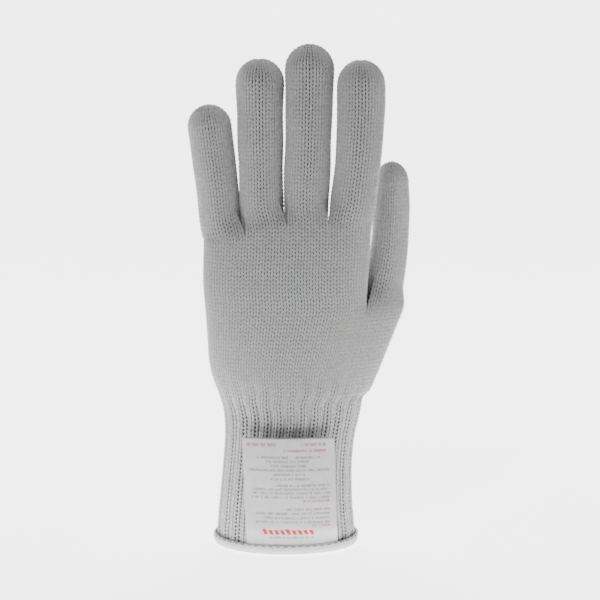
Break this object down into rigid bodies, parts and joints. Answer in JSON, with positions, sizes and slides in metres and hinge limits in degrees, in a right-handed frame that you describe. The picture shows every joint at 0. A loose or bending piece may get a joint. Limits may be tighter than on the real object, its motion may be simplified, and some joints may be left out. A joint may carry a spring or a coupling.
{
  "type": "cut resistant knitted glove",
  "caption": "Knitted cut resistant work glove with long ribbed cuff, bound hem and sewn-in label, fingers and thumb bending at their joints.",
  "frame": {"origin": "centre of the wrist opening, in the plane that the hem stands on", "axes": "+Z from the hem to the fingertips, +X towards the thumb, +Y towards the palm, -Y is the back of the hand"},
  "size_m": [0.118, 0.0544, 0.269],
  "materials": {
    "plain_knit": "heavy plain knit of light grey yarn",
    "rib_knit": "elastic rib knit of light grey yarn",
    "elastic": "covered elastic yarn",
    "binding": "folded pale grey binding tape",
    "thread": "dark sewing thread",
    "label": "smooth printed tape"
  },
  "bodies": {
    "cuff": {"cuff_shell": "rib_knit", "cuff_elastic": "elastic", "hem_binding": "binding", "hem_thread": "thread", "label_tuck": "label", "label_thread": "thread"},
    "hand": {"hand_shell": "plain_knit"},
    "label": {"label_flap": "label"},
    "little_root": {"little_root": "plain_knit"},
    "little_middle": {"little_middle": "plain_knit"},
    "little_tip": {"little_tip": "plain_knit"},
    "ring_root": {"ring_root": "plain_knit"},
    "ring_middle": {"ring_middle": "plain_knit"},
    "ring_tip": {"ring_tip": "plain_knit"},
    "middle_root": {"middle_root": "plain_knit"},
    "middle_middle": {"middle_middle": "plain_knit"},
    "middle_tip": {"middle_tip": "plain_knit"},
    "index_root": {"index_root": "plain_knit"},
    "index_middle": {"index_middle": "plain_knit"},
    "index_tip": {"index_tip": "plain_knit"},
    "thumb_root": {"thumb_root": "plain_knit"},
    "thumb_middle": {"thumb_middle": "plain_knit"},
    "thumb_tip": {"thumb_tip": "plain_knit"}
  },
  "joints": [
    {"name": "wrist_flex", "type": "hinge", "parent": "cuff", "child": "hand", "pos_m": [0.003, 0.0004, 0.076], "axis": [-1, 0, 0], "range_deg": [-45, 55]},
    {"name": "little_knuckle", "type": "hinge", "parent": "hand", "child": "little_root", "pos_m": [-0.0339, 0.0006, 0.174], "axis": [-0.9896, -0.099, -0.104], "range_deg": [0, 70]},
    {"name": "little_middle_joint", "type": "hinge", "parent": "little_root", "child": "little_middle", "pos_m": [-0.0363, 0.0006, 0.19687], "axis": [-0.9891, -0.0989, -0.1092], "range_deg": [0, 75]},
    {"name": "little_tip_joint", "type": "hinge", "parent": "little_middle", "child": "little_tip", "pos_m": [-0.03843, 0.0006, 0.21525], "axis": [-0.9885, -0.0989, -0.1144], "range_deg": [0, 35]},
    {"name": "ring_knuckle", "type": "hinge", "parent": "hand", "child": "ring_root", "pos_m": [-0.0122, 0, 0.18], "axis": [-0.9985, -0.0499, -0.0209], "range_deg": [0, 75]},
    {"name": "ring_middle_joint", "type": "hinge", "parent": "ring_root", "child": "ring_middle", "pos_m": [-0.01283, 0, 0.20999], "axis": [-0.9986, -0.0499, -0.0157], "range_deg": [0, 80]},
    {"name": "ring_tip_joint", "type": "hinge", "parent": "ring_middle", "child": "ring_tip", "pos_m": [-0.01309, 0, 0.23499], "axis": [-0.9987, -0.0499, -0.0052], "range_deg": [0, 40]},
    {"name": "middle_knuckle", "type": "hinge", "parent": "hand", "child": "middle_root", "pos_m": [0.0113, -0.0004, 0.182], "axis": [-0.9994, 0.02, 0.0279], "range_deg": [0, 75]},
    {"name": "middle_middle_joint", "type": "hinge", "parent": "middle_root", "child": "middle_middle", "pos_m": [0.01219, -0.0004, 0.21399], "axis": [-0.9995, 0.02, 0.0262], "range_deg": [0, 80]},
    {"name": "middle_tip_joint", "type": "hinge", "parent": "middle_middle", "child": "middle_tip", "pos_m": [0.01285, -0.0004, 0.24098], "axis": [-0.9996, 0.02, 0.0174], "range_deg": [0, 40]},
    {"name": "index_knuckle", "type": "hinge", "parent": "hand", "child": "index_root", "pos_m": [0.0354, 0, 0.18], "axis": [-0.9885, 0.0989, 0.1144], "range_deg": [0, 75]},
    {"name": "index_middle_joint", "type": "hinge", "parent": "index_root", "child": "index_middle", "pos_m": [0.03885, 0, 0.2098], "axis": [-0.9916, 0.0992, 0.0833], "range_deg": [0, 80]},
    {"name": "index_tip_joint", "type": "hinge", "parent": "index_middle", "child": "index_tip", "pos_m": [0.04016, 0, 0.23477], "axis": [-0.9948, 0.0995, 0.0208], "range_deg": [0, 40]},
    {"name": "thumb_root_joint", "type": "hinge", "parent": "hand", "child": "thumb_root", "pos_m": [0.0512, 0.0126, 0.131], "axis": [0, 0.9939, -0.1104], "range_deg": [0, 45]},
    {"name": "thumb_knuckle", "type": "hinge", "parent": "thumb_root", "child": "thumb_middle", "pos_m": [0.0573, 0.0156, 0.158], "axis": [-0.8519, -0.4918, 0.1801], "range_deg": [0, 45]},
    {"name": "thumb_tip_joint", "type": "hinge", "parent": "thumb_middle", "child": "thumb_tip", "pos_m": [0.0593, 0.0175, 0.181], "axis": [-0.8638, -0.4987, 0.0718], "range_deg": [0, 60]},
    {"name": "label_fold", "type": "hinge", "parent": "cuff", "child": "label", "pos_m": [0.0035, -0.02702, 0.0068], "axis": [1, 0, 0], "range_deg": [0, 90]}
  ]
}
